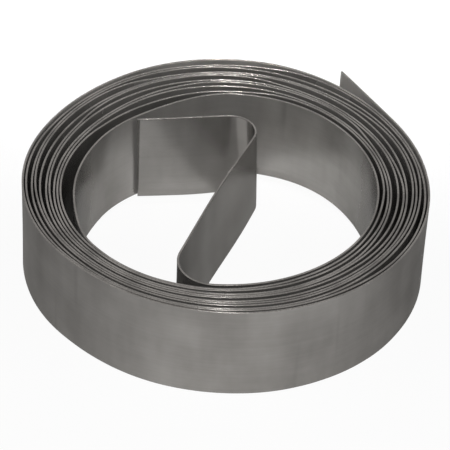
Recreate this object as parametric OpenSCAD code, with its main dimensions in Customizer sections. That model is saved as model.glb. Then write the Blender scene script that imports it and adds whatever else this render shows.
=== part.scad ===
// Coil of plain flat steel strap, one length wound loosely on itself and standing on its slit edges.
// The inner end crosses the bore and folds back against it; the outer end springs off the coil.
// Millimetres, +Z up along the coil's axis, origin on the floor under the middle of the coil's footprint.

/* [Strap] */
// Width of the strap, which is the height of the coil
strap_w = 40; // [15:1:80]
// Thickness of the steel
strap_t = 0.8; // [0.3:0.05:1.5]

/* [Bore] */
// Mean radius of the innermost turn, to the middle of the steel
bore_r = 60.4; // [50:0.1:100]
// How far the innermost turn sits off the coil's axis
bore_shift = 4.8; // [0:0.1:6]
// Direction of that shift, in degrees from the front towards the left
shift_angle = 22; // [0:1:40]
// How far the innermost turn is out of round
bore_oval = 0.6; // [0:0.1:1.5]
// How far the innermost turn is drawn in at the left, where the cut end lies against it
draw_in = 6.4; // [0:0.1:7]
// Share of that draw which the turns outside it follow
draw_follow = 0.46; // [0.3:0.01:1]
// How far the innermost turn is drawn in at the front, where the inner end leaves it
lead_draw = 1.3; // [0:0.1:3]

/* [Turns] */
// Turns wound round the bore
turns = 11.345; // [3:0.005:16]
// Clear gap where two turns lie closest
gap_min = 0.15; // [0.05:0.05:0.15]
// Mean clear gap at the sides of the coil
gap_side = 1; // [0.95:0.05:2]
// How much wider the mean gap is at the back than at the sides, and narrower at the front
gap_skew = 0.5; // [0:0.01:0.5]
// How much wider the mean gap is at the front right and back left, and narrower at the other corners
gap_slant = 0.26; // [0:0.01:0.26]

/* [Inner end] */
// How far before the front of the coil the inner end leaves the innermost turn, in degrees
lead_angle = 3; // [0:0.5:10]
// Radius of the bend that leads from the innermost turn into the bore, to the middle of the steel
lead_r = 13.5; // [8:0.5:18]
// Angle of the strap across the bore from the coil's front-to-back line
cross_angle = 19.5; // [5:0.5:30]
// Radius of the fold at the back of the bore, to the middle of the steel
fold_r = 10.5; // [5:0.5:14]
// Clear gap between the fold and the back of the bore
fold_gap = 14.5; // [6:0.5:18]
// Slope of the folded-back end from the coil's left-to-right line
end_slope = 6; // [4:1:14]
// Clear gap between the corner of the cut end and the innermost turn
end_gap = 2.6; // [0.2:0.1:4]

/* [Outer end] */
// Length of the straight outer end that springs off the coil
spring_run = 37.5; // [10:0.5:60]

/* [Hidden] */

// Winding angles run anticlockwise from the front of the coil, seen from above: 90 is the right side.
draw_at = 256;
draw_span = 110;
lead_span = 140;
oval_phase = 67;
turn_step = 5;
bend_step = 6;
wall_search_steps = 24;

// Waves in how open the turns lie: share, waves in a turn, phase; the shares add up to one half
gap_waves = [
    [0.09, 1.97, -120],
    [0.22, 3.23, -103],
    [0.19, 3.68, 156]
];

// Winding angles at which the wound part of the strap starts and ends
lead_phi = -lead_angle;
spring_phi = 360 * turns;

// Direction across the bore, and direction of the folded-back end, from +X
cross_heading = 90 - cross_angle;
end_heading = 180 + end_slope;

// A point at distance r from the coil's axis, at a winding angle
function around(r, phi) = r * [sin(phi), -cos(phi)];

// Sum of a list of numbers
function sum(list) = list * [for (value = list) 1];

// How open two neighbouring turns lie, from 0, closed, to 1: waves that never line up from turn to turn
function openness(phi) = 0.5 + sum([for (wave = gap_waves) wave[0] * sin(wave[1] * phi + wave[2])]);

// Mean clear gap on one side of the coil
function mean_gap(phi) = gap_side - gap_skew * cos(phi) + gap_slant * sin(2 * phi);

// Clear gap between the turn at a winding angle and the next turn out
function gap(phi) = gap_min + 2 * (mean_gap(phi) - gap_min) * openness(phi);

// A smooth swell of height 1 about one winding angle
function swell(phi, middle, span) =
    abs(phi - middle) < span / 2 ? pow(cos(180 * (phi - middle) / span), 2) : 0;

// How far the innermost turn is drawn in at the left, and at the front
function left_draw(phi) = draw_in * swell(phi, draw_at, draw_span);
function front_draw(phi) = lead_draw * swell(phi, 0, lead_span);

// Radius of the innermost turn, which gains one pitch by the time it comes round to the front
function first_radius(phi) =
    bore_r
    + bore_shift * cos(phi + shift_angle)
    + bore_oval * cos(2 * phi + oval_phase)
    + (strap_t + gap(0)) * phi / 360
    - left_draw(phi)
    - front_draw(phi);

// How far the second turn stays out where the innermost one is drawn in
function stay_out(phi) = (1 - draw_follow) * left_draw(phi) + front_draw(phi);

// Radius of the wound strap to the middle of the steel: each turn lies one thickness and gap further out
function radius(phi) =
    phi < 360 ? first_radius(phi)
    : radius(phi - 360) + strap_t + gap(phi - 360) + (phi < 720 ? stay_out(phi - 360) : 0);

// Direction in which the wound strap runs at a winding angle, from +X
function heading(phi) =
    let (rise = (radius(phi + 0.5) - radius(phi - 0.5)) * 180 / PI)
    phi - atan2(rise, radius(phi));

// The point that lies a run ahead of p in a direction
function ahead(p, direction, run) = p + run * [cos(direction), sin(direction)];

// Points along a bend of radius r that starts at p in a direction and turns left, or right if negative
function bend(p, direction, r, turn) =
    let (
        side = sign(turn),
        steps = ceil(abs(turn) / bend_step),
        centre = ahead(p, direction + 90 * side, r)
    )
    [for (i = [0:steps]) ahead(centre, direction - 90 * side + turn * i / steps, r)];

// Winding angle of a point, from 0 to 360
function phi_of(p) = (atan2(p.x, -p.y) + 360) % 360;

// Clear distance from a point in the bore to the innermost turn
function wall_gap(p) = radius(phi_of(p)) - strap_t / 2 - norm(p);

// Run from p that leaves the wanted gap to the innermost turn, found by halving
function run_to_wall(p, direction, low, high, steps) =
    let (middle = (low + high) / 2)
    steps == 0 ? low
    : wall_gap(ahead(p, direction, middle)) > end_gap
        ? run_to_wall(p, direction, middle, high, steps - 1)
        : run_to_wall(p, direction, low, middle, steps - 1);

function last(list) = list[len(list) - 1];
function reversed(list) = [for (i = [len(list) - 1:-1:0]) list[i]];

// The inner end, followed from the innermost turn to the cut end
lead_from = around(radius(lead_phi), lead_phi);
lead_heading = heading(lead_phi) + 180;
lead_bend = bend(lead_from, lead_heading, lead_r, cross_heading - lead_heading);
cross_from = last(lead_bend);
fold_from_y = radius(180) - strap_t - fold_gap - fold_r * (1 + cos(cross_heading));
cross_run = (fold_from_y - cross_from.y) / sin(cross_heading);
fold_from = ahead(cross_from, cross_heading, cross_run);
fold_bend = bend(fold_from, cross_heading, fold_r, end_heading - cross_heading);
end_from = last(fold_bend);
end_corner_from = ahead(end_from, end_heading - 90, strap_t / 2);
end_run = run_to_wall(end_corner_from, end_heading, 0, 2 * bore_r, wall_search_steps);
inner_end = concat(lead_bend, fold_bend, [ahead(end_from, end_heading, end_run)]);

// The wound turns and the outer end
wound_steps = ceil((spring_phi - lead_phi) / turn_step);
wound = [
    for (i = [1:wound_steps])
        let (phi = lead_phi + (spring_phi - lead_phi) * i / wound_steps)
        around(radius(phi), phi)
];
outer_end = ahead(last(wound), heading(spring_phi), spring_run);

// The middle line of the whole strap, from the inner cut end to the outer one
path = concat(reversed(inner_end), wound, [outer_end]);

// Unit vector to the left of the strap at point i of its middle line
function left_of(i) =
    let (along = path[min(i + 1, len(path) - 1)] - path[max(i - 1, 0)])
    [-along.y, along.x] / norm(along);

// One face of the strap as seen from above, at an offset to the left of its middle line
function face(offset) = [for (i = [0:len(path) - 1]) path[i] + offset * left_of(i)];

outline = concat(face(strap_t / 2), reversed(face(-strap_t / 2)));
outline_x = [for (p = outline) p.x];
outline_y = [for (p = outline) p.y];
footprint_centre = [min(outline_x) + max(outline_x), min(outline_y) + max(outline_y)] / 2;

// The strap: its edge line seen from above, raised to the strap's width
module strap() {
    color("#7f7d78")
        linear_extrude(strap_w)
            translate(-footprint_centre)
                polygon(outline);
}

strap();
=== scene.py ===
"""Dressed model of a loose coil of plain steel strap that stands on its slit edges.

The whole object is one length of strap. Its middle line follows the rule of the CAD solid: an inner end
that crosses the bore and folds back, turns that wind outwards with gaps that open and close, and a straight
outer end. The scene adds what is finer than the solid: turns that bundle at the front and sway between their
neighbours, and stretches that lean or stand off their line. A thin section is carried along that line.
Lengths are in millimetres until a mesh, lamp or camera is made.
"""

import logging
from dataclasses import dataclass, field
from enum import Enum
from typing import Any

import bpy
import numpy as np
from mathutils import Matrix, Vector


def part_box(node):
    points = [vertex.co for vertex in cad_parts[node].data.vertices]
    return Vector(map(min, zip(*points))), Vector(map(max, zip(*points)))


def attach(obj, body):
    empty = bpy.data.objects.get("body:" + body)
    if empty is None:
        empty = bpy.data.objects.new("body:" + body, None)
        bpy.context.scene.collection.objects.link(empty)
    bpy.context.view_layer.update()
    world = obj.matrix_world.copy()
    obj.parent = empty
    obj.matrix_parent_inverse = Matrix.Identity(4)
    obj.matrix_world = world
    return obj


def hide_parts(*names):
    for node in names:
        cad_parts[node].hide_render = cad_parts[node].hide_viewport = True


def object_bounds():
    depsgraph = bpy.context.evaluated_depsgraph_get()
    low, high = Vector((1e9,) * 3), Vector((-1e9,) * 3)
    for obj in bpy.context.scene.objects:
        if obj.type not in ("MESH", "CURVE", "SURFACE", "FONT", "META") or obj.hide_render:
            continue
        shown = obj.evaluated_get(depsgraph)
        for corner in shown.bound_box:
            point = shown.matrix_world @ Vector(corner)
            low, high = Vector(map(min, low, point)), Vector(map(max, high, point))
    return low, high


MM = 0.001
PHOTO_SIDE_PX = 450.0
LOG = logging.getLogger("strap_coil")

# The sRGB curve: a straight start up to the knee, and a power of the value plus an offset beyond it
SRGB_STEPS = 255.0
SRGB_KNEE = 0.04045
SRGB_SLOPE = 12.92
SRGB_OFFSET = 0.055
SRGB_POWER = 2.4

# Sockets of a Mix node that mixes colours, by number, as its sockets for other values have the same names
MIX_SHARE = 0
MIX_ONE = 6
MIX_OTHER = 7
MIXED = 2

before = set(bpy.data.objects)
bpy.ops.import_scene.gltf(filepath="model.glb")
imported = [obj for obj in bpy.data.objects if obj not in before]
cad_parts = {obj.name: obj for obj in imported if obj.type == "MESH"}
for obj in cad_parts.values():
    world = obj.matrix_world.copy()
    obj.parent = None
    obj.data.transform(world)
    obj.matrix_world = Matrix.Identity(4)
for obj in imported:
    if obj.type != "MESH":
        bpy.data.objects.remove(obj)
CAD_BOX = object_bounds()


def linear(hex_colour: str) -> tuple[float, float, float, float]:
    """Turn an sRGB hex colour into the linear colour that a shader socket takes.

    Args:
        hex_colour: Six hex digits with a leading hash sign.

    Returns:
        Linear red, green and blue, and an alpha of 1.
    """
    srgb = np.array([int(hex_colour[i:i + 2], 16) for i in (1, 3, 5)]) / SRGB_STEPS
    curve = ((srgb + SRGB_OFFSET) / (1.0 + SRGB_OFFSET)) ** SRGB_POWER
    red, green, blue = np.where(srgb <= SRGB_KNEE, srgb / SRGB_SLOPE, curve)
    return (float(red), float(green), float(blue), 1.0)


def add_node(
    tree: bpy.types.NodeTree,
    kind: str,
    values: dict[Any, Any] | None = None,
    links: dict[Any, bpy.types.NodeSocket] | None = None,
    stops: tuple[tuple[float, str], ...] = (),
    **settings: Any,
) -> bpy.types.Node:
    """Add one node to a tree.

    Args:
        tree: The node tree that gets the node.
        kind: Blender's name for the kind of node.
        values: Socket name or number to the constant it holds.
        links: Socket name or number to the output that feeds it.
        stops: A colour ramp's places and sRGB hex colours, in rising order.
        **settings: The node's own properties.

    Returns:
        The new node.
    """
    node = tree.nodes.new(kind)
    for name, setting in settings.items():
        setattr(node, name, setting)
    for socket, value in (values or {}).items():
        node.inputs[socket].default_value = value
    for socket, source in (links or {}).items():
        tree.links.new(source, node.inputs[socket])
    if stops:
        elements = node.color_ramp.elements
        while len(elements) < len(stops):
            elements.new(1.0)
        for element, (place, colour) in zip(elements, stops):
            element.position = place
            element.color = linear(colour)
    return node


def new_material(name: str) -> tuple[bpy.types.Material, bpy.types.NodeTree]:
    """Make an empty node material.

    Args:
        name: The material's name.

    Returns:
        The material and its node tree.
    """
    material = bpy.data.materials.new(name)
    material.use_nodes = True
    material.node_tree.nodes.clear()
    return material, material.node_tree


def compass(direction: float | np.ndarray) -> np.ndarray:
    """Unit vectors in the floor plane, by their angle from +X in degrees."""
    return np.stack([np.cos(np.radians(direction)), np.sin(np.radians(direction))], axis=-1)


def swell(place: np.ndarray, middle: float, span: float) -> np.ndarray:
    """A smooth swell of height 1: a squared cosine about its middle, and nothing beyond half its span.

    Args:
        place: Places along the strap, as angles or lengths.
        middle: Place of the swell's middle.
        span: Length of the whole swell.

    Returns:
        Heights from 0 to 1.
    """
    away = (place - middle) / span
    return np.where(np.abs(away) < 0.5, np.cos(np.pi * away) ** 2, 0.0)


class Skin(Enum):
    """The two kinds of surface on the strap, by material slot."""

    ROLLED_FACE = 0
    SLIT_EDGE = 1


class TintAndPaintedLight(Enum):
    """A tint that lies over a stretch of the strip's grey; on some stretches it stands for painted light and
    shade.
    """

    CLEAN = "#fdfeff"
    DARK_GREY = "#bcbcbc"
    LIGHT_GREY = "#e6e6e6"


@dataclass(frozen=True)
class Wave:
    """One sine wave: its share of the whole, its waves in 360 degrees and its phase in degrees."""

    share: float
    per_turn: float
    phase: float

    def at(self, angle: np.ndarray) -> np.ndarray:
        """The wave's value at angles in degrees."""
        return self.share * np.sin(np.radians(self.per_turn * angle + self.phase))


@dataclass(frozen=True)
class Lean:
    """A stretch of strap that leans over or stands off its line: its middle and length along the strap, and
    how far its upper edge and its foot move there, as X and Y in millimetres."""

    middle: float
    span: float
    top: tuple[float, float]
    foot: tuple[float, float]

    def at(self, run: np.ndarray, rise: np.ndarray) -> np.ndarray:
        """Offset in the floor plane: a swell along the strap times a straight slope up its width.

        Args:
            run: Lengths along the strap in millimetres.
            rise: Heights as shares of the strap's width.

        Returns:
            X and Y in millimetres, a row for each length and a column for each height.
        """
        slope = np.outer(rise, self.top) + np.outer(1.0 - rise, self.foot)
        return swell(run, self.middle, self.span)[:, None, None] * slope


@dataclass
class Winding:
    """The strap's middle line seen from above, in millimetres about the coil's axis.

    Winding angles run anticlockwise from the front, so 90 degrees is the right side. The sizes are those of
    the CAD solid; the bundles and the sway are the scene's own.
    """

    # Steel and bore: the innermost turn's mean radius, its shift off the axis and how far it is out of round
    strap_t: float = 0.8
    bore_r: float = 60.4
    bore_shift: float = 4.8
    shift_angle: float = 22.0
    bore_oval: float = 0.6
    oval_phase: float = 67.0
    # How far the innermost turn is drawn in at the left and front, and the share that the outer turns follow
    draw_in: float = 6.4
    draw_follow: float = 0.46
    draw_at: float = 256.0
    draw_span: float = 110.0
    lead_draw: float = 1.3
    lead_span: float = 140.0
    # Turns, and the clear gaps between them
    turns: float = 11.345
    gap_min: float = 0.15
    gap_side: float = 1.0
    gap_skew: float = 0.5
    gap_slant: float = 0.26
    half_open: float = 0.5
    waves: tuple[Wave, ...] = (Wave(0.09, 1.97, -120.0), Wave(0.22, 3.23, -103.0), Wave(0.19, 3.68, 156.0))
    # Bundles at the front, and the sway of every second turn elsewhere
    bundle_gap: float = 0.75
    bundle_turns: int = 3
    bundle_first: int = 2
    bundle_span: float = 160.0
    sway_per_turn: float = 2.37
    sway_phase: float = 20.0
    sway_drive: float = 1.8
    sway_fade: int = 4
    # Inner end: the bend into the bore, the straight across it, the fold and the cut; then the outer end
    lead_angle: float = 3.0
    lead_r: float = 13.5
    cross_angle: float = 19.5
    fold_r: float = 10.5
    fold_gap: float = 14.5
    end_slope: float = 6.0
    end_gap: float = 2.6
    spring_run: float = 37.5
    # Steps along the line, in degrees, and of the search for the wall
    turn_step: float = 1.0
    bend_step: float = 3.0
    heading_step: float = 0.5
    wall_search_steps: int = 24

    def gap(self, phi: np.ndarray) -> np.ndarray:
        """Clear gap between the turn at a winding angle and the next one out: a mean that is wider at the
        back, at the front right and at the back left, opened and closed by the waves. Round the front, every
        third gap opens further and the two between close, so that the turns lie in bundles.

        Args:
            phi: Winding angles in degrees.

        Returns:
            Gaps in millimetres.
        """
        angle = np.radians(phi)
        openness = self.half_open + sum(wave.at(phi) for wave in self.waves)
        mean = self.gap_side - self.gap_skew * np.cos(angle) + self.gap_slant * np.sin(2.0 * angle)
        plain = self.gap_min + 2.0 * (mean - self.gap_min) * openness
        turn = np.floor(phi / 360.0 + 0.5)
        parted = np.cos(2.0 * np.pi * (turn - self.bundle_first) / self.bundle_turns)
        bundled = self.bundle_gap * parted * swell(phi - 360.0 * turn, 0.0, self.bundle_span)
        return np.maximum(self.gap_min, plain + bundled)

    def sway(self, phi: np.ndarray) -> np.ndarray:
        """How far every second turn lies off its place between its neighbours: a flattened wave along the
        strap that takes it close to one and then the other, faded out towards the front. The innermost and
        outermost turns have none.

        Args:
            phi: Winding angles in degrees.

        Returns:
            Offsets outwards in millimetres.
        """
        turn = np.floor(phi / 360.0)
        loose = (turn % 2 == 1) & (turn < int(self.turns) - 1)
        fade = 1.0 - np.cos(np.pi * (phi / 360.0 - turn)) ** self.sway_fade
        wave = np.tanh(self.sway_drive * np.sin(np.radians(self.sway_per_turn * phi + self.sway_phase)))
        room = np.where(wave > 0.0, self.gap(phi), self.gap(phi - 360.0)) - self.gap_min
        return np.where(loose, fade * wave * room, 0.0)

    def radius(self, phi: float | np.ndarray) -> np.ndarray:
        """Radius of the strap's middle line. The innermost turn is a shifted oval that is drawn in at the
        left and at the front. Each turn after it lies one thickness and one gap outside the turn before, and
        every second one sways.

        Args:
            phi: Winding angles in degrees, from just before 0 to the end of the last turn.

        Returns:
            Radii in millimetres.
        """
        phi = np.asarray(phi, dtype=float)
        turn = np.floor(np.maximum(phi, 0.0) / 360.0)
        first = phi - 360.0 * turn
        left_draw = self.draw_in * swell(first, self.draw_at, self.draw_span)
        front_draw = self.lead_draw * swell(first, 0.0, self.lead_span)
        shift = self.bore_shift * np.cos(np.radians(first + self.shift_angle))
        oval = self.bore_oval * np.cos(np.radians(2.0 * first + self.oval_phase))
        pitch = self.strap_t + self.gap(np.zeros(1))[0]
        radius = self.bore_r + shift + oval + pitch * first / 360.0 - left_draw - front_draw
        radius = radius + np.where(turn > 0, (1.0 - self.draw_follow) * left_draw + front_draw, 0.0)
        for number in range(int(turn.max())):
            step = self.strap_t + self.gap(first + 360.0 * number)
            radius = radius + np.where(turn > number, step, 0.0)
        return radius + self.sway(phi)

    def around(self, phi: float | np.ndarray) -> np.ndarray:
        """Points of the wound strap at winding angles in degrees."""
        return self.radius(phi)[..., None] * compass(np.asarray(phi) - 90.0)

    def heading(self, phi: float) -> float:
        """Direction in which the wound strap runs, from its radius and how fast that grows.

        Args:
            phi: Winding angle in degrees.

        Returns:
            Degrees from +X.
        """
        before, here, after = self.radius(phi + self.heading_step * np.array([-1.0, 0.0, 1.0]))
        rise = np.degrees(after - before) / (2.0 * self.heading_step)
        return float(phi - np.degrees(np.arctan2(rise, here)))

    def bend(self, start: np.ndarray, direction: float, bend_r: float, turn: float) -> np.ndarray:
        """Points along a round bend: a circle's centre to one side, swept by the turn.

        Args:
            start: Point where the bend starts.
            direction: Direction of the strap there, in degrees from +X.
            bend_r: Radius to the middle of the steel.
            turn: Degrees turned to the left, or to the right where negative.

        Returns:
            Points from the start to the end of the bend.
        """
        side = np.sign(turn)
        centre = start + bend_r * compass(direction + 90.0 * side)
        steps = int(np.ceil(abs(turn) / self.bend_step))
        return centre + bend_r * compass(direction - 90.0 * side + np.linspace(0.0, turn, steps + 1))

    def run_to_wall(self, corner: np.ndarray, direction: float) -> float:
        """Length of straight strap that leaves the wanted gap to the innermost turn, found by halving.

        Args:
            corner: The corner of the strap where the straight starts.
            direction: Its direction in degrees from +X.

        Returns:
            Length in millimetres.
        """
        low, high = 0.0, 2.0 * self.bore_r
        for _ in range(self.wall_search_steps):
            middle = (low + high) / 2.0
            point = corner + middle * compass(direction)
            phi = np.degrees(np.arctan2(point[0], -point[1])) % 360.0
            clear = self.radius(phi) - self.strap_t / 2.0 - np.hypot(*point)
            low, high = (middle, high) if clear > self.end_gap else (low, middle)
        return low

    def inner_end(self) -> np.ndarray:
        """The inner end, followed from the innermost turn: a bend into the bore, a straight across it, the
        fold and a straight back to the wall.

        Returns:
            Points from the innermost turn to the cut end.
        """
        across, back = 90.0 - self.cross_angle, 180.0 + self.end_slope
        leaving = self.heading(-self.lead_angle) + 180.0
        lead = self.bend(self.around(-self.lead_angle), leaving, self.lead_r, across - leaving)
        fold_y = float(self.radius(180.0)) - self.strap_t - self.fold_gap
        fold_y -= self.fold_r * (1.0 + np.cos(np.radians(across)))
        cross_run = (fold_y - lead[-1, 1]) / np.sin(np.radians(across))
        fold = self.bend(lead[-1] + cross_run * compass(across), across, self.fold_r, back - across)
        corner = fold[-1] + self.strap_t / 2.0 * compass(back - 90.0)
        end = fold[-1] + self.run_to_wall(corner, back) * compass(back)
        return np.vstack([lead, fold, end])

    def middle_line(self) -> np.ndarray:
        """The whole strap from its inner cut end to its outer one.

        Returns:
            Points in millimetres about the coil's axis.
        """
        last = 360.0 * self.turns
        steps = int(np.ceil((last + self.lead_angle) / self.turn_step))
        wound = self.around(np.linspace(-self.lead_angle, last, steps + 1)[1:])
        outer = wound[-1] + self.spring_run * compass(self.heading(last))
        return np.vstack([self.inner_end()[::-1], wound, outer])


@dataclass(frozen=True)
class Grain:
    """One pattern on the strip: its grains' length and width in millimetres, and its layers of fine grain."""

    along_mm: float
    across_mm: float
    layers: float


@dataclass(frozen=True)
class ColdRolledFace:
    """Cold rolled low-carbon steel strip, left bare with mill oil on it.

    To the eye: a dull grey with soft reflections that the fine rolling lines draw out across the strip,
    cloudy patches where the oil dried, handling smears and dark streaks across the strip and a few dark
    specks. A tint over the grey is darker on some stretches and differs between the outward and inward
    sides; part of it is painted light and shade: painted shade on the bend into the bore, a painted
    highlight round the front of the outermost turn, and the inward faces of most wound turns painted
    lighter than their outward faces. The wound turns are a little duller than the inner end, and the
    outermost is matt.
    """

    # Grey of the steel, and where its dark and light lie in the patterns
    dark: str = "#999692"
    light: str = "#b9b6b2"
    dark_at: float = 0.36
    light_at: float = 0.64
    # Tint on each side, by millimetres from the inner cut end; some stretches are painted light and shade
    outward_tints_and_painted_light: tuple[tuple[float, TintAndPaintedLight], ...] = (
        (32.0, TintAndPaintedLight.CLEAN), (40.0, TintAndPaintedLight.LIGHT_GREY), (54.0, TintAndPaintedLight.LIGHT_GREY), (64.0, TintAndPaintedLight.CLEAN),
        # Painted shade: the bend into the bore is darker from 145 to 205 mm
        (125.0, TintAndPaintedLight.CLEAN), (145.0, TintAndPaintedLight.DARK_GREY), (205.0, TintAndPaintedLight.DARK_GREY), (235.0, TintAndPaintedLight.CLEAN),
        (485.0, TintAndPaintedLight.CLEAN), (515.0, TintAndPaintedLight.DARK_GREY),
        # Painted highlight: the outermost turn is lighter round the front, about 4960 mm from the inner cut
        # end
        (4885.0, TintAndPaintedLight.DARK_GREY), (4960.0, TintAndPaintedLight.LIGHT_GREY), (5035.0, TintAndPaintedLight.DARK_GREY),
    )
    inward_tints_and_painted_light: tuple[tuple[float, TintAndPaintedLight], ...] = (
        # Painted shade: the bend into the bore is darker from 145 to 205 mm on this side too
        (125.0, TintAndPaintedLight.CLEAN), (145.0, TintAndPaintedLight.DARK_GREY), (205.0, TintAndPaintedLight.DARK_GREY), (235.0, TintAndPaintedLight.CLEAN),
        # Painted light: from 930 mm on, the inward faces are lighter than the outward ones, standing in for
        # light on the faces seen in the gaps between turns
        (485.0, TintAndPaintedLight.CLEAN), (515.0, TintAndPaintedLight.DARK_GREY), (900.0, TintAndPaintedLight.DARK_GREY), (930.0, TintAndPaintedLight.LIGHT_GREY),
    )
    tint_span_mm: float = 5200.0
    stain: str = "#3c3a38"
    # Tint of slanting reflections, and the share of bare metal on the inner end and on the turns
    slant_tint: str = "#888888"
    end_bare: float = 0.8
    bare: float = 0.65
    # Roughness over the patches, what the wound turns and the outermost turn add, and where each starts
    roughness_low: float = 0.16
    roughness_high: float = 0.26
    smooth_at: float = 0.3
    rough_at: float = 0.7
    wound_roughness: float = 0.04
    wound_from_mm: float = 160.0
    outer_roughness: float = 0.36
    outer_from_mm: float = 4620.0
    change_mm: float = 30.0
    drawn_out: float = 0.4
    # Patterns, and how much each of them shows
    clouds: Grain = Grain(33.6, 24.0, 4.0)
    # Real rolling lines are too fine to show in the render, so these are as coarse as they need to show
    lines: Grain = Grain(90.0, 0.9, 2.0)
    smears: Grain = Grain(16.0, 60.0, 3.0)
    streaks: Grain = Grain(7.0, 110.0, 1.0)
    grain_roughness: float = 0.55
    smear_share: float = 0.45
    line_share: float = 0.08
    streak_from: float = 0.68
    streak_full: float = 0.84
    streak_depth: float = 0.3
    speck_cell_mm: float = 15.0
    speck_mm: float = 0.5
    speck_core: float = 0.4
    speck_depth: float = 0.7

    def grains(self, tree: bpy.types.NodeTree, run: bpy.types.NodeSocket) -> list[bpy.types.NodeSocket]:
        """Noise for each pattern, stretched to the length and width of its grains on the strip.

        Args:
            tree: The material's node tree.
            run: Place on the strip, in metres.

        Returns:
            Clouds, rolling lines, smears and streaks, each from 0 to 1.
        """
        patterns = []
        for grain in (self.clouds, self.lines, self.smears, self.streaks):
            sizes = (grain.along_mm, grain.across_mm, self.clouds.across_mm)
            scale = tuple(1.0 / (size * MM) for size in sizes)
            placed = add_node(tree, "ShaderNodeMapping", {"Scale": scale}, {"Vector": run})
            noise = add_node(
                tree, "ShaderNodeTexNoise",
                {"Scale": 1.0, "Detail": grain.layers, "Roughness": self.grain_roughness},
                {"Vector": placed.outputs["Vector"]},
            )
            patterns.append(noise.outputs["Fac"])
        return patterns

    def tints_and_painted_light(self, tree: bpy.types.NodeTree, place: bpy.types.Node) -> bpy.types.NodeSocket:
        """Tint over the grey, with its painted light and shade: a ramp along the strip for each of its sides.

        Args:
            tree: The material's node tree.
            place: Node that gives the place on the strip as X, Y and Z, with the inward side above 0 in Z.

        Returns:
            The tint's colour.
        """
        share = add_node(
            tree, "ShaderNodeMath", {1: 1.0 / (self.tint_span_mm * MM)}, {0: place.outputs["X"]},
            operation="MULTIPLY",
        ).outputs["Value"]
        tints = []
        for tints_and_painted_light in (self.outward_tints_and_painted_light, self.inward_tints_and_painted_light):
            stops = tuple((along / self.tint_span_mm, kind.value) for along, kind in tints_and_painted_light)
            tint = add_node(tree, "ShaderNodeValToRGB", links={"Fac": share}, stops=stops)
            tints.append(tint.outputs["Color"])
        inward = add_node(
            tree, "ShaderNodeMath", {1: 0.0}, {0: place.outputs["Z"]}, operation="GREATER_THAN"
        ).outputs["Value"]
        return add_node(
            tree, "ShaderNodeMix", links={MIX_SHARE: inward, MIX_ONE: tints[0], MIX_OTHER: tints[1]},
            data_type="RGBA",
        ).outputs[MIXED]

    def stained(
        self,
        tree: bpy.types.NodeTree,
        colour: bpy.types.NodeSocket,
        streaks: bpy.types.NodeSocket,
        run: bpy.types.NodeSocket,
    ) -> bpy.types.NodeSocket:
        """Colour with dark stains over it: streaks where their noise is high and a round speck in each cell.

        Args:
            tree: The material's node tree.
            colour: Colour without stains.
            streaks: Noise of the streaks.
            run: Place on the strip, in metres.

        Returns:
            The stained colour.
        """
        streak = add_node(
            tree, "ShaderNodeMapRange",
            {
                "From Min": self.streak_from, "From Max": self.streak_full,
                "To Min": 0.0, "To Max": self.streak_depth,
            },
            {"Value": streaks}, interpolation_type="SMOOTHSTEP",
        ).outputs["Result"]
        cells = add_node(
            tree, "ShaderNodeTexVoronoi", {"Scale": 1.0 / (self.speck_cell_mm * MM)}, {"Vector": run}
        ).outputs["Distance"]
        speck_size = self.speck_mm / self.speck_cell_mm
        speck = add_node(
            tree, "ShaderNodeMapRange",
            {
                "From Min": speck_size, "From Max": speck_size * self.speck_core,
                "To Min": 0.0, "To Max": self.speck_depth,
            },
            {"Value": cells}, interpolation_type="SMOOTHSTEP",
        ).outputs["Result"]
        for cover in (streak, speck):
            colour = add_node(
                tree, "ShaderNodeMix", {MIX_OTHER: linear(self.stain)}, {MIX_SHARE: cover, MIX_ONE: colour},
                data_type="RGBA",
            ).outputs[MIXED]
        return colour

    def roughness(
        self, tree: bpy.types.NodeTree, patches: bpy.types.NodeSocket, along: bpy.types.NodeSocket
    ) -> bpy.types.NodeSocket:
        """Roughness: it follows the patches, and rises where the wound turns and the outermost turn start.

        Args:
            tree: The material's node tree.
            patches: Noise of the clouds and smears.
            along: Length along the strip, in metres.

        Returns:
            The roughness.
        """
        roughness = add_node(
            tree, "ShaderNodeMapRange",
            {
                "From Min": self.smooth_at, "From Max": self.rough_at,
                "To Min": self.roughness_low, "To Max": self.roughness_high,
            },
            {"Value": patches},
        ).outputs["Result"]
        steps = ((self.wound_from_mm, self.wound_roughness), (self.outer_from_mm, self.outer_roughness))
        for start, more in steps:
            duller = add_node(
                tree, "ShaderNodeMapRange",
                {
                    "From Min": start * MM, "From Max": (start + self.change_mm) * MM,
                    "To Min": 0.0, "To Max": more,
                },
                {"Value": along}, interpolation_type="SMOOTHSTEP",
            ).outputs["Result"]
            roughness = add_node(
                tree, "ShaderNodeMath", links={0: roughness, 1: duller}, operation="ADD"
            ).outputs["Value"]
        return roughness

    def material(self, run_name: str) -> bpy.types.Material:
        """Make the material. Patterns follow the strip: x along it, y across it and z its side, in metres.

        Args:
            run_name: Name of the mesh attribute that holds the place on the strip.

        Returns:
            The finished material.
        """
        material, tree = new_material("cold_rolled_steel_strip")
        run = add_node(tree, "ShaderNodeAttribute", attribute_name=run_name).outputs["Vector"]
        place = add_node(tree, "ShaderNodeSeparateXYZ", links={0: run})
        along = place.outputs["X"]
        clouds, lines, smears, streaks = self.grains(tree, run)
        patches = add_node(
            tree, "ShaderNodeMix", {"Factor": self.smear_share}, {"A": clouds, "B": smears},
            data_type="FLOAT",
        ).outputs["Result"]
        lined = add_node(
            tree, "ShaderNodeMix", {"Factor": self.line_share}, {"A": patches, "B": lines},
            data_type="FLOAT",
        ).outputs["Result"]
        grey = add_node(
            tree, "ShaderNodeValToRGB", links={"Fac": lined},
            stops=((self.dark_at, self.dark), (self.light_at, self.light)),
        ).outputs["Color"]
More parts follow.
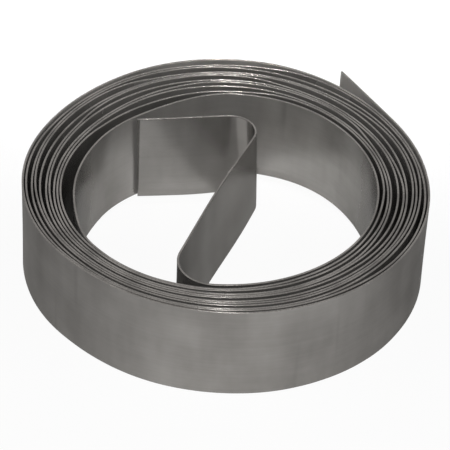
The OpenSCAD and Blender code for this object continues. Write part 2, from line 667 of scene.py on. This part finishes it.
        # The grey times the tint, which holds painted light and shade on some stretches
        tinted_grey = add_node(
            tree, "ShaderNodeMix", {MIX_SHARE: 1.0}, {MIX_ONE: grey, MIX_OTHER: self.tints_and_painted_light(tree, place)},
            data_type="RGBA", blend_type="MULTIPLY",
        ).outputs[MIXED]
        bareness = add_node(
            tree, "ShaderNodeMapRange",
            {
                "From Min": self.wound_from_mm * MM, "From Max": (self.wound_from_mm + self.change_mm) * MM,
                "To Min": self.end_bare, "To Max": self.bare,
            },
            {"Value": along},
        ).outputs["Result"]
        upright = add_node(tree, "ShaderNodeCombineXYZ", {"Z": 1.0}).outputs["Vector"]
        shader = add_node(
            tree, "ShaderNodeBsdfPrincipled",
            {"Anisotropic": self.drawn_out, "Specular Tint": linear(self.slant_tint)},
            {
                "Base Color": self.stained(tree, tinted_grey, streaks, run),
                "Metallic": bareness,
                "Roughness": self.roughness(tree, patches, along),
                "Tangent": upright,
            },
        )
        add_node(tree, "ShaderNodeOutputMaterial", links={"Surface": shader.outputs["BSDF"]})
        return material


@dataclass(frozen=True)
class SlitEdge:
    """The same steel where rotary slitters cut it to width.

    To the eye: torn and grainy, a little darker than the rolled face, with small glints where a lamp
    catches it.
    """

    dark: str = "#676461"
    light: str = "#8d8985"
    dark_at: float = 0.38
    light_at: float = 0.66
    bare: float = 0.9
    roughness_low: float = 0.19
    roughness_high: float = 0.36
    rough_at: float = 0.3
    smooth_at: float = 0.7
    # Real tears are finer than this, and are drawn as coarse as they need to show in the render
    tear_mm: float = 0.7
    tear_layers: float = 3.0
    tear_roughness: float = 0.6
    tear_share: float = 0.5
    tear_depth_mm: float = 0.03
    tear_strength: float = 0.15
    patch_mm: float = 14.0
    patch_layers: float = 2.0

    def material(self) -> bpy.types.Material:
        """Make the material, with torn grain and longer patches on Object coordinates.

        Returns:
            The finished material.
        """
        material, tree = new_material("slit_steel_edge")
        place = add_node(tree, "ShaderNodeTexCoord").outputs["Object"]
        tear = add_node(
            tree, "ShaderNodeTexNoise",
            {
                "Scale": 1.0 / (self.tear_mm * MM), "Detail": self.tear_layers,
                "Roughness": self.tear_roughness,
            },
            {"Vector": place},
        ).outputs["Fac"]
        patch = add_node(
            tree, "ShaderNodeTexNoise", {"Scale": 1.0 / (self.patch_mm * MM), "Detail": self.patch_layers},
            {"Vector": place},
        ).outputs["Fac"]
        tone = add_node(
            tree, "ShaderNodeMix", {"Factor": 1.0 - self.tear_share}, {"A": tear, "B": patch},
            data_type="FLOAT",
        ).outputs["Result"]
        colour = add_node(
            tree, "ShaderNodeValToRGB", links={"Fac": tone},
            stops=((self.dark_at, self.dark), (self.light_at, self.light)),
        ).outputs["Color"]
        roughness = add_node(
            tree, "ShaderNodeMapRange",
            {
                "From Min": self.rough_at, "From Max": self.smooth_at,
                "To Min": self.roughness_high, "To Max": self.roughness_low,
            },
            {"Value": patch},
        ).outputs["Result"]
        bump = add_node(
            tree, "ShaderNodeBump", {"Strength": self.tear_strength, "Distance": self.tear_depth_mm * MM},
            {"Height": tear},
        ).outputs["Normal"]
        shader = add_node(
            tree, "ShaderNodeBsdfPrincipled", {"Metallic": self.bare},
            {"Base Color": colour, "Roughness": roughness, "Normal": bump},
        )
        add_node(tree, "ShaderNodeOutputMaterial", links={"Surface": shader.outputs["BSDF"]})
        return material


@dataclass
class StrapCoil:
    """The strap itself: a thin section with bevelled slit edges carried along the winding."""

    node: str = "strap"
    slot: str = "steel"
    run_name: str = "strap_run"
    winding: Winding = field(default_factory=Winding)
    # Step between rings, bevel of a slit edge, and levels up a face
    spacing: float = 1.6
    crown: float = 0.14
    edge_flat: float = 0.78
    edge_loop: float = 0.35
    face_levels: int = 8
    # How far from 0 each side's pattern lies, so that the two sides differ
    side_apart: float = 400.0
    # Lift off the floor, bow across the width and ripple, with the wave lengths of the first and last
    lift: float = 0.3
    lift_wave: float = 210.0
    lift_middle: float = 0.5
    lift_waves: tuple[Wave, ...] = (Wave(0.3, 1.0, 0.0), Wave(0.2, 2.7, 57.3))
    bow: float = 0.12
    ripple: float = 0.03
    ripple_wave: float = 47.0
    ripple_waves: tuple[Wave, ...] = (Wave(1.0, 1.0, 0.0), Wave(1.0, 0.37, 114.6))
    leans: tuple[Lean, ...] = (
        # The cut end, which leans forwards with its foot out of square
        Lean(0.0, 90.0, (0.2, -1.9), (0.1, -0.9)),
        Lean(0.0, 40.0, (0.0, 0.0), (0.75, 0.1)),
        # The fold, whose foot stands further back, and the strap across the bore, which leans to the left
        Lean(59.0, 84.0, (0.0, 0.0), (1.4, 3.9)),
        Lean(76.0, 60.0, (0.0, 0.0), (0.7, 0.0)),
        Lean(95.0, 104.0, (-1.15, 0.0), (0.0, 0.0)),
        # The innermost turn at the back right, the back left, the left and the front left
        Lean(314.0, 90.0, (0.2, 0.3), (0.75, 1.0)),
        Lean(382.0, 70.0, (1.8, -3.8), (1.8, -3.8)),
        Lean(427.0, 48.0, (-1.0, 0.4), (-0.6, 0.2)),
        Lean(463.0, 46.0, (1.3, 0.45), (1.3, 0.45)),
        # The second turn at the back left
        Lean(768.0, 60.0, (0.5, -1.1), (0.5, -1.1)),
    )

    def stations(self) -> tuple[np.ndarray, np.ndarray, np.ndarray]:
        """The middle line at even steps, with the vectors that point to its left.

        Returns:
            Lengths along the strap, points about the coil's axis, and unit vectors to the left.
        """
        line = self.winding.middle_line()
        length = np.concatenate([[0.0], np.cumsum(np.linalg.norm(np.diff(line, axis=0), axis=1))])
        run = np.linspace(0.0, length[-1], int(length[-1] / self.spacing) + 1)
        points = np.stack([np.interp(run, length, line[:, axis]) for axis in (0, 1)], axis=1)
        along = np.gradient(points, axis=0)
        along /= np.linalg.norm(along, axis=1, keepdims=True)
        left = np.stack([-along[:, 1], along[:, 0]], axis=1)
        return run, points, left

    def axis(self) -> np.ndarray:
        """Place of the coil's axis in the frame: what moves the middle of the strap's outline to the middle
        of the CAD solid's box.

        Returns:
            X and Y of the axis, in millimetres.
        """
        _, points, left = self.stations()
        half = self.winding.strap_t / 2.0
        outline = np.vstack([points + half * left, points - half * left])
        low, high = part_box(self.node)
        middle = np.array([low.x + high.x, low.y + high.y]) / (2.0 * MM)
        return middle - (outline.min(axis=0) + outline.max(axis=0)) / 2.0

    def section(self, width: float) -> tuple[np.ndarray, np.ndarray, np.ndarray]:
        """The strap's section as one ring: up the left face, over the upper edge, down the right face, under.

        Args:
            width: Width of the strap in millimetres.

        Returns:
            Offset to the left and height of each ring point, and the skin of each step to the next point.
        """
        half = self.winding.strap_t / 2.0
        inset = self.crown + self.edge_loop
        levels = np.linspace(inset, width - inset, self.face_levels)
        levels = np.concatenate([[self.crown], levels, [width - self.crown]])
        over = np.array([half, -half]) * self.edge_flat
        offset = np.concatenate([np.full(len(levels), half), over, np.full(len(levels), -half), -over])
        height = np.concatenate([levels, np.full(len(over), width), levels[::-1], np.zeros(len(over))])
        face = np.full(len(levels) - 1, Skin.ROLLED_FACE.value)
        edge = np.full(len(over) + 1, Skin.SLIT_EDGE.value)
        return offset, height, np.concatenate([face, edge, face, edge])

    def surface(self) -> tuple[np.ndarray, np.ndarray, np.ndarray]:
        """The strap's skin as a grid of stations by ring points. Each ring lies across the middle line; it is
        lifted by slow waves along the strap, bowed across its width and rippled along its length, and then
        the stretches that lean or stand off their line are moved.

        Returns:
            Places in millimetres, the pattern place of each point, as along, across and which side in metres,
            and the skin of each step round a ring.
        """
        run, points, left = self.stations()
        low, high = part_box(self.node)
        offset, height, skins = self.section((high.z - low.z) / MM - self.lift)
        rise = height / height.max()
        lift = self.lift_middle + sum(wave.at(360.0 * run / self.lift_wave) for wave in self.lift_waves)
        bow = 1.0 - (2.0 * rise - 1.0) ** 2
        ripple = sum(wave.at(360.0 * run / self.ripple_wave) for wave in self.ripple_waves)
        out = offset + self.bow * bow + self.ripple * ripple[:, None]
        place = np.empty((len(run), len(offset), 3))
        place[..., :2] = (points + self.axis())[:, None, :] + left[:, None, :] * out[..., None]
        place[..., :2] += sum(lean.at(run, rise) for lean in self.leans)
        place[..., 2] = low.z / MM + height + self.lift * lift[:, None]
        pattern = np.empty_like(place)
        pattern[..., 0] = run[:, None]
        pattern[..., 1] = height
        pattern[..., 2] = np.sign(offset) * self.side_apart
        return place, pattern * MM, skins

    def quads(self, stations: int, skins: np.ndarray) -> tuple[np.ndarray, np.ndarray]:
        """Faces of the skin and of the two square-cut ends. The skin joins each ring to the next; an end
        joins the ring points up one side to those opposite, which go down the other.

        Args:
            stations: Number of rings.
            skins: Skin of each step round the ring.

        Returns:
            Four point numbers a face, and the skin of each face.
        """
        ring = len(skins)
        number = np.arange(stations * ring).reshape(stations, ring)
        following = np.roll(number, -1, axis=1)
        skin = np.stack([number[:-1], following[:-1], following[1:], number[1:]], axis=-1).reshape(-1, 4)
        up, down = np.split(np.roll(np.arange(ring), 1), 2)
        other = down[::-1]
        end = np.stack([up[:-1], other[:-1], other[1:], up[1:]], axis=-1)
        start_cap = number[0][end]
        last_cap = number[-1][end][:, ::-1]
        faces = np.vstack([skin, start_cap, last_cap])
        kinds = np.concatenate([np.tile(skins, stations - 1), np.full(2 * len(end), Skin.SLIT_EDGE.value)])
        return faces, kinds

    def build(self) -> bpy.types.Object:
        """Make the strap's mesh and put it into the scene.

        Returns:
            The strap's object.
        """
        place, pattern, skins = self.surface()
        faces, kinds = self.quads(len(place), skins)
        mesh = bpy.data.meshes.new("strap_skin")
        mesh.from_pydata(place.reshape(-1, 3) * MM, [], faces)
        mesh.polygons.foreach_set("material_index", kinds.astype(np.int32))
        mesh.shade_smooth()
        run = mesh.attributes.new(self.run_name, "FLOAT_VECTOR", "POINT")
        run.data.foreach_set("vector", pattern.astype(np.float32).ravel())
        mesh.validate()
        strap = bpy.data.objects.new("wound_strap", mesh)
        bpy.context.scene.collection.objects.link(strap)
        return strap

    def dress(self, strap: bpy.types.Object) -> None:
        """Give the strap its two skins, in the order of Skin, and tie it to the frame.

        Args:
            strap: The strap's object.
        """
        strap.data.materials.append(ColdRolledFace().material(self.run_name))
        strap.data.materials.append(SlitEdge().material())
        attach(strap, "root")
        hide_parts(self.node)


@dataclass(frozen=True)
class PaleFloor:
    """Matt white painted board: it shows as plain white, keeps a soft shadow and throws light on the coil."""

    colour: str = "#f0f0f0"
    seen_colour: str = "#5c5c5c"
    glow: float = 0.9
    mirrored_glow: float = 0.05

    def material(self) -> bpy.types.Material:
        """Make the material: a white board with a little glow to the steel, and to the camera a darker board
        with more glow, on which the shadow is faint.

        Returns:
            The finished material.
        """
        material, tree = new_material("matt_white_board")
        path = add_node(tree, "ShaderNodeLightPath").outputs
        colour = add_node(
            tree, "ShaderNodeMix", {MIX_ONE: linear(self.colour), MIX_OTHER: linear(self.seen_colour)},
            {MIX_SHARE: path["Is Camera Ray"]}, data_type="RGBA",
        ).outputs[MIXED]
        mirrored = add_node(
            tree, "ShaderNodeMath", links={0: path["Is Glossy Ray"], 1: path["Is Transmission Ray"]},
            operation="MAXIMUM",
        ).outputs["Value"]
        little = add_node(
            tree, "ShaderNodeMath", {1: self.mirrored_glow}, {0: mirrored}, operation="MULTIPLY"
        ).outputs["Value"]
        strength = add_node(
            tree, "ShaderNodeMath", {1: self.glow}, {0: path["Is Camera Ray"], 2: little},
            operation="MULTIPLY_ADD",
        ).outputs["Value"]
        board = add_node(tree, "ShaderNodeBsdfDiffuse", links={"Color": colour}).outputs["BSDF"]
        glow = add_node(tree, "ShaderNodeEmission", links={"Strength": strength}).outputs["Emission"]
        both = add_node(tree, "ShaderNodeAddShader", links={0: board, 1: glow})
        add_node(tree, "ShaderNodeOutputMaterial", links={"Surface": both.outputs["Shader"]})
        return material


@dataclass(frozen=True)
class Lamp:
    """One soft area lamp: its name, place and aim in metres, side lengths in metres, power in watts, and the
    angle in degrees over which it throws its light, which a grid in front of it narrows."""

    name: str
    place: tuple[float, float, float]
    aim: tuple[float, float, float]
    sides: tuple[float, float]
    power: float
    spread: float = 180.0

    def hang(self) -> None:
        """Put the lamp into the scene, pointed at its aim."""
        light = bpy.data.lights.new(self.name, "AREA")
        light.shape = "RECTANGLE"
        light.size, light.size_y = self.sides
        light.energy = self.power
        light.spread = np.radians(self.spread)
        lamp = bpy.data.objects.new(self.name, light)
        lamp.location = self.place
        lamp.rotation_mode = "QUATERNION"
        lamp.rotation_quaternion = (Vector(self.aim) - Vector(self.place)).to_track_quat("-Z", "Y")
        bpy.context.scene.collection.objects.link(lamp)


@dataclass
class Studio:
    """White floor and surround, soft lamps and the camera at the photograph's viewing angle."""

    floor_reach: float = 6.0
    surround_colour: str = "#ffffff"
    surround_light: float = 0.18
    surround_seen: float = 1.0
    # Camera: degrees above the floor and about its line of sight, and the pixel that shows the coil's middle
    elevation: float = 38.68
    roll: float = 2.86
    distance_mm: float = 972.9
    focal_px: float = 2478.25
    aim_px: tuple[float, float] = (225.07, 218.36)
    sensor_mm: float = 36.0
    lamps: tuple[Lamp, ...] = (
        Lamp("front_softbox", (0.0, -1.19, 1.09), (0.0, 0.0, 0.02), (0.12, 0.12), 14.0),
        Lamp("left_softbox", (-0.9, -0.2, 1.0), (0.0, 0.0, 0.02), (0.5, 0.5), 1.0),
        Lamp("right_softbox", (0.9, -0.2, 1.0), (0.0, 0.0, 0.02), (0.5, 0.5), 1.0),
        Lamp("overhead_softbox", (0.0, 0.36, 1.4), (0.0, 0.36, 0.0), (0.28, 0.4), 1.9, 14.0),
    )

    def floor(self) -> None:
        """Lay the floor: one square sheet at the height on which the coil stands."""
        low, _ = CAD_BOX
        corners = np.array([[-1, -1], [1, -1], [1, 1], [-1, 1]]) * self.floor_reach
        mesh = bpy.data.meshes.new("floor_sheet")
        mesh.from_pydata(np.column_stack([corners, np.full(len(corners), low.z)]), [], [(0, 1, 2, 3)])
        mesh.materials.append(PaleFloor().material())
        floor = bpy.data.objects.new("floor", mesh)
        bpy.context.scene.collection.objects.link(floor)

    def surround(self) -> None:
        """Make the world: plain white to look at, straight, in a gloss or through glass, and an even light of
        its own strength on the coil."""
        world = bpy.data.worlds.new("white_surround")
        world.use_nodes = True
        tree = world.node_tree
        tree.nodes.clear()
        path = add_node(tree, "ShaderNodeLightPath").outputs
        seen = path["Is Camera Ray"]
        for ray in ("Is Glossy Ray", "Is Transmission Ray"):
            seen = add_node(
                tree, "ShaderNodeMath", links={0: seen, 1: path[ray]}, operation="MAXIMUM"
            ).outputs["Value"]
        strength = add_node(
            tree, "ShaderNodeMapRange", {"To Min": self.surround_light, "To Max": self.surround_seen},
            {"Value": seen},
        ).outputs["Result"]
        light = add_node(
            tree, "ShaderNodeBackground", {"Color": linear(self.surround_colour)}, {"Strength": strength}
        ).outputs["Background"]
        add_node(tree, "ShaderNodeOutputWorld", links={"Surface": light})
        bpy.context.scene.world = world

    def camera(self, axis: np.ndarray, mid_height: float) -> None:
        """Set up the camera. It stands in front of the coil, above the floor by the elevation, and is turned
        a little about its own line of sight; the coil's middle shows at the aim's pixel.

        Args:
            axis: X and Y of the coil's axis, in millimetres.
            mid_height: Half the coil's height, in millimetres.
        """
        data = bpy.data.cameras.new("photo_camera")
        data.sensor_width = self.sensor_mm
        data.lens = self.focal_px / PHOTO_SIDE_PX * self.sensor_mm
        tilt = np.radians(self.elevation)
        target = Vector((axis[0], axis[1], mid_height)) * MM
        back = Vector((0.0, -np.cos(tilt), np.sin(tilt)))
        aim = (-back).to_track_quat("-Z", "Y").to_matrix()
        off_x = (self.aim_px[0] - PHOTO_SIDE_PX / 2.0) / self.focal_px
        off_y = (self.aim_px[1] - PHOTO_SIDE_PX / 2.0) / self.focal_px
        pan = Matrix.Rotation(off_x, 3, "Y") @ Matrix.Rotation(off_y, 3, "X")
        turn = Matrix.Rotation(np.radians(self.roll), 3, "Z")
        camera = bpy.data.objects.new("photo_camera", data)
        camera.matrix_world = (aim @ turn @ pan).to_4x4()
        camera.location = target + back * (self.distance_mm * MM)
        bpy.context.scene.collection.objects.link(camera)
        bpy.context.scene.camera = camera

    def set_up(self, axis: np.ndarray, mid_height: float) -> None:
        """Lay the floor, light it and place the camera.

        Args:
            axis: X and Y of the coil's axis, in millimetres.
            mid_height: Half the coil's height, in millimetres.
        """
        bpy.context.scene.view_settings.view_transform = "Standard"
        self.floor()
        self.surround()
        for lamp in self.lamps:
            lamp.hang()
        self.camera(axis, mid_height)


def main() -> None:
    """Build the strap, dress it and set up the studio round it."""
    logging.basicConfig(level=logging.INFO, format="%(name)s: %(message)s")
    coil = StrapCoil()
    strap = coil.build()
    coil.dress(strap)
    LOG.info("%s: %d faces", strap.name, len(strap.data.polygons))
    low, high = CAD_BOX
    studio = Studio()
    studio.set_up(coil.axis(), (low.z + high.z) / (2.0 * MM))
    LOG.info("studio: %d lamps", len(studio.lamps))


if __name__ == "__main__":
    main()
